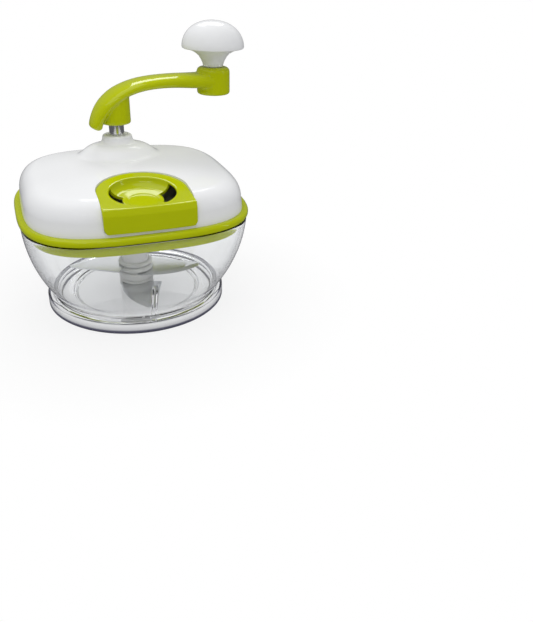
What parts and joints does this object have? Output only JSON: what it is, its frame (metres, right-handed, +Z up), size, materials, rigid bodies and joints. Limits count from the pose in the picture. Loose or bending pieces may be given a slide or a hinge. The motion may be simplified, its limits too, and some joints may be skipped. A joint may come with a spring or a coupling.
{
  "type": "hand crank food chopper",
  "caption": "Hand crank food chopper with a clear rounded square bowl, geared lid with a dished insert, swept crank with domed knob and a bladed rotor.",
  "frame": {"origin": "centre of the foot ring's underside, on the table", "axes": "+Z up along the rotor axis, -Y towards the port insert at the front, +X to the right"},
  "size_m": [0.2011, 0.169, 0.2087],
  "materials": {
    "clear": "clear polished plastic",
    "lime": "glossy lime green moulding",
    "white": "glossy white moulding",
    "frost": "milky grey plastic",
    "steel": "polished steel",
    "blade": "ground stainless sheet",
    "zinc": "plated hardware"
  },
  "bodies": {
    "bowl": {"bowl": "clear", "pivot_pin": "steel"},
    "lid": {"lid_ring": "lime", "lid_cover": "white", "bearing_plate": "white", "shaft_bush": "frost", "pinion_bush": "frost", "plate_screws": "zinc"},
    "insert": {"port_insert": "lime"},
    "crank": {"crank_shaft": "steel", "drive_gear": "white", "shaft_clip": "zinc", "crank_arm": "lime", "knob_post": "steel", "post_clip": "zinc"},
    "knob": {"knob_neck": "frost", "knob_dome": "white"},
    "rotor": {"pinion": "frost", "pinion_clip": "zinc", "blade_stem": "white", "lower_hub": "frost", "upper_hub": "frost", "lower_blade": "blade", "middle_blade": "blade", "upper_blade": "blade"}
  },
  "joints": [
    {"name": "lid_lift", "type": "slide", "parent": "bowl", "child": "lid", "axis": [0, 0, 1], "range_m": [0, 0.12]},
    {"name": "insert_lift", "type": "slide", "parent": "lid", "child": "insert", "axis": [0, 0, 1], "range_m": [0, 0.03]},
    {"name": "crank_turn", "type": "hinge", "parent": "lid", "child": "crank", "pos_m": [0, 0.04, 0.117], "axis": [0, 0, 1], "continuous": true},
    {"name": "knob_turn", "type": "hinge", "parent": "crank", "child": "knob", "pos_m": [0.08765, 0.05545, 0.181], "axis": [0, 0, 1], "continuous": true},
    {"name": "rotor_turn", "type": "hinge", "parent": "lid", "child": "rotor", "pos_m": [0, 0, 0.085], "axis": [0, 0, 1], "continuous": true}
  ],
  "couplings": [
    {"joint": "rotor_turn", "follows": "crank_turn", "ratio": -3}
  ]
}
